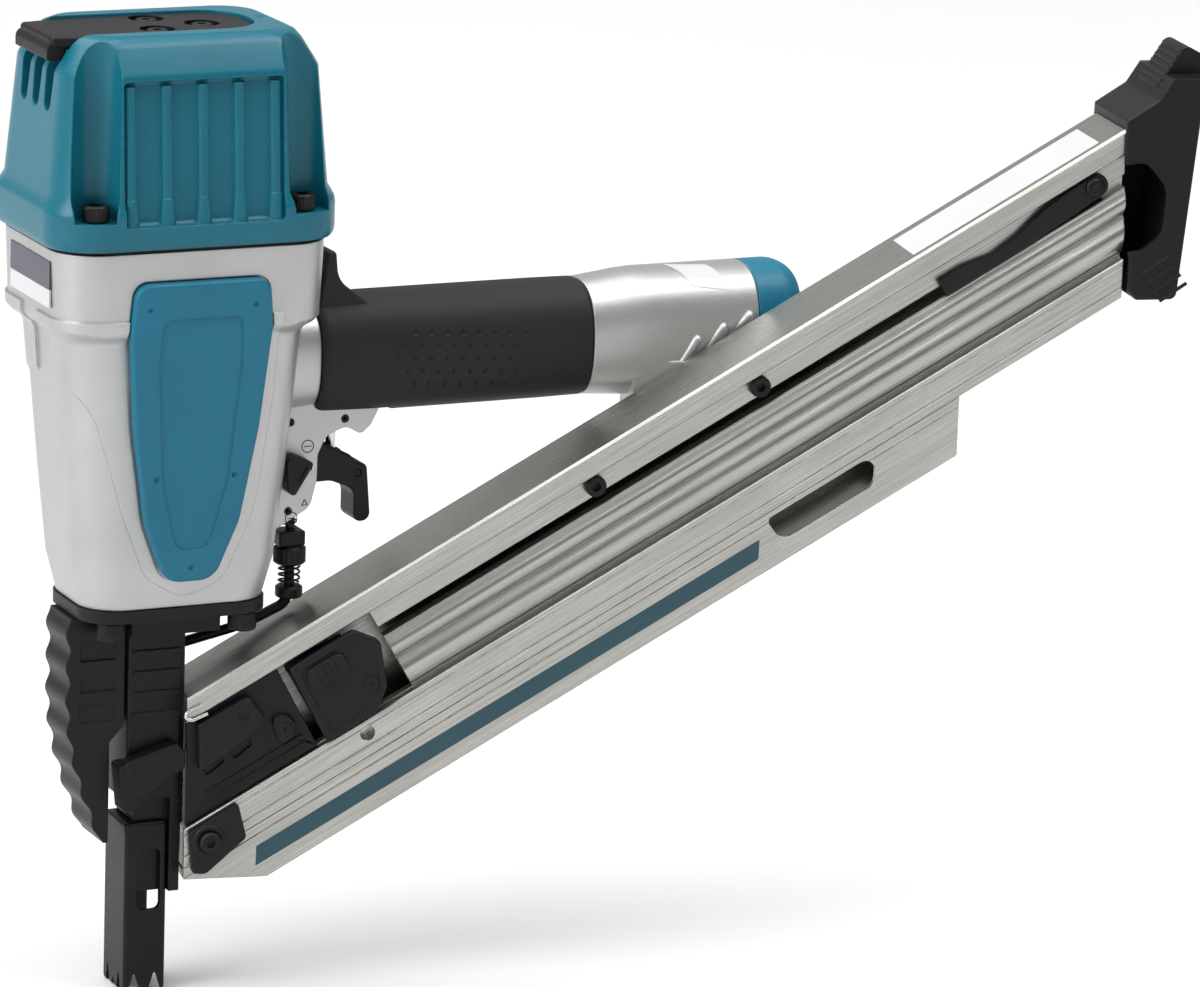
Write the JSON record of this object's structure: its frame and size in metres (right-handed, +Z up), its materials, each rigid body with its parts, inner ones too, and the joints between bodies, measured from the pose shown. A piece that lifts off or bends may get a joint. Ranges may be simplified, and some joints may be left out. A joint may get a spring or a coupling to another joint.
{
  "type": "pneumatic nailer",
  "caption": "Pneumatic framing nailer with a D-shaped hand space, sloping strip magazine, trigger with contact trip, toothed nose and a driver in an air cylinder.",
  "frame": {"origin": "centre of the hand grip", "axes": "+X along the handle towards the hose end, +Z up the driver's axis away from the work, -Y towards the side the magazine leans to"},
  "size_m": [0.4508, 0.135, 0.3675],
  "materials": {
    "cast_aluminium": "silver painted die casting",
    "brushed_aluminium": "brushed extrusion, clear anodised",
    "teal_painted_aluminium": "gloss teal paint",
    "teal_moulding": "satin teal moulding",
    "black_rubber": "matt black",
    "black_plastic": "satin black moulding",
    "blackened_steel": "black oxide",
    "bright_steel": "bright ground steel",
    "bright_alloy": "machined aluminium"
  },
  "bodies": {
    "tool": {"main_housing": "cast_aluminium", "magazine_rail": "brushed_aluminium", "magazine_skid": "brushed_aluminium", "top_cap": "teal_painted_aluminium", "side_pad_left": "teal_moulding", "side_pad_right": "teal_moulding", "handle_end_cap": "teal_moulding", "cap_gasket": "black_rubber", "handle_grip": "black_rubber", "bumper": "black_rubber", "exhaust_deflector": "black_plastic", "valve_body": "black_plastic", "base_plate": "black_plastic", "nose_guard": "black_plastic", "magazine_end_cap": "black_plastic", "feeder_plate": "black_plastic", "feeder_block": "black_plastic", "front_bracket": "black_plastic", "roll_pin_1": "blackened_steel", "roll_pin_2": "blackened_steel", "roll_pin_3": "blackened_steel", "deflector_screw_1": "blackened_steel", "deflector_screw_2": "blackened_steel", "deflector_screw_3": "blackened_steel", "cap_bolt_1": "blackened_steel", "cap_bolt_2": "blackened_steel", "cap_bolt_3": "blackened_steel", "cap_bolt_4": "blackened_steel", "base_bolt_1": "blackened_steel", "base_bolt_2": "blackened_steel", "base_bolt_3": "blackened_steel", "base_bolt_4": "blackened_steel", "head_valve_spring": "blackened_steel", "contact_spring": "blackened_steel", "driver_guide": "blackened_steel", "magazine_bolt_1": "blackened_steel", "magazine_bolt_2": "blackened_steel", "front_bracket_bolt": "blackened_steel", "nail_stop_screw": "blackened_steel", "air_plug": "bright_steel", "valve_spring": "bright_steel", "cylinder_sleeve": "bright_alloy"},
    "driver": {"piston": "bright_alloy", "piston_ring": "black_rubber", "driver_blade": "blackened_steel"},
    "head_valve": {"head_valve": "bright_alloy"},
    "trigger": {"trigger": "black_plastic", "lever_pin": "bright_steel"},
    "trigger_lever": {"trigger_lever": "bright_steel"},
    "valve_stem": {"valve_stem": "bright_steel"},
    "mode_knob": {"mode_knob": "black_plastic"},
    "trip_head": {"link_head": "blackened_steel"},
    "depth_wheel": {"depth_wheel": "black_plastic"},
    "contact": {"contact_link": "blackened_steel", "contact_tip": "blackened_steel", "detent_spring": "blackened_steel"},
    "pusher": {"pusher": "black_plastic", "pusher_spring": "bright_steel"},
    "nail_stop": {"nail_stop_lever": "black_plastic"},
    "nose_latch": {"nose_latch": "blackened_steel"}
  },
  "joints": [
    {"name": "driver_stroke", "type": "slide", "parent": "tool", "child": "driver", "axis": [0, 0, -1], "range_m": [0, 0.087]},
    {"name": "head_valve_lift", "type": "slide", "parent": "tool", "child": "head_valve", "axis": [0, 0, 1], "range_m": [0, 0.004], "stiffness_N_per_m": 500, "springref_m": -0.01, "deforming": ["head_valve_spring"]},
    {"name": "trigger_pull", "type": "hinge", "parent": "tool", "child": "trigger", "pos_m": [-0.0735, 0, -0.0435], "axis": [0, -1, 0], "range_deg": [0, 9], "stiffness_Nm_per_rad": 0.5, "springref_deg": -5.73},
    {"name": "lever_tilt", "type": "hinge", "parent": "trigger", "child": "trigger_lever", "pos_m": [-0.0432, 0, -0.0457], "axis": [0, 1, 0], "range_deg": [0, 20]},
    {"name": "valve_stem_lift", "type": "slide", "parent": "tool", "child": "valve_stem", "axis": [0, 0, 1], "range_m": [0, 0.003], "deforming": ["valve_spring"]},
    {"name": "mode_turn", "type": "hinge", "parent": "tool", "child": "mode_knob", "pos_m": [-0.0735, 0, -0.0435], "axis": [0, -1, 0], "range_deg": [-30, 0]},
    {"name": "trip_slide", "type": "slide", "parent": "tool", "child": "trip_head", "axis": [0, 0, 1], "range_m": [0, 0.008], "stiffness_N_per_m": 1500, "springref_m": -0.008, "deforming": ["contact_spring"]},
    {"name": "depth_turn", "type": "hinge", "parent": "trip_head", "child": "depth_wheel", "pos_m": [-0.0675, 0, -0.0769], "axis": [0, 0, 1], "range_deg": [0, 360]},
    {"name": "depth_slide", "type": "slide", "parent": "trip_head", "child": "contact", "axis": [0, 0, -1], "range_m": [0, 0.0012]},
    {"name": "pusher_slide", "type": "slide", "parent": "tool", "child": "pusher", "axis": [0.8466, -0.16, 0.5075], "range_m": [0, 0.245], "stiffness_N_per_m": 20, "springref_m": -0.6},
    {"name": "nail_stop_lift", "type": "hinge", "parent": "tool", "child": "nail_stop", "pos_m": [0.2243, -0.08032, 0.06354], "axis": [0.1857, 0.9826, 0], "range_deg": [0, 4], "stiffness_Nm_per_rad": 0.3, "springref_deg": -5.73},
    {"name": "latch_swing", "type": "hinge", "parent": "tool", "child": "nose_latch", "pos_m": [-0.114, -0.015, -0.1465], "axis": [0, 0, 1], "range_deg": [0, 28], "stiffness_Nm_per_rad": 0.05, "springref_deg": -5.73}
  ],
  "couplings": [
    {"joint": "lever_tilt", "follows": "trip_slide", "rad_per_m": 42.5},
    {"joint": "trigger_pull", "follows": "valve_stem_lift", "rad_per_m": 52.35},
    {"joint": "depth_turn", "follows": "depth_slide", "rad_per_m": 5235}
  ]
}
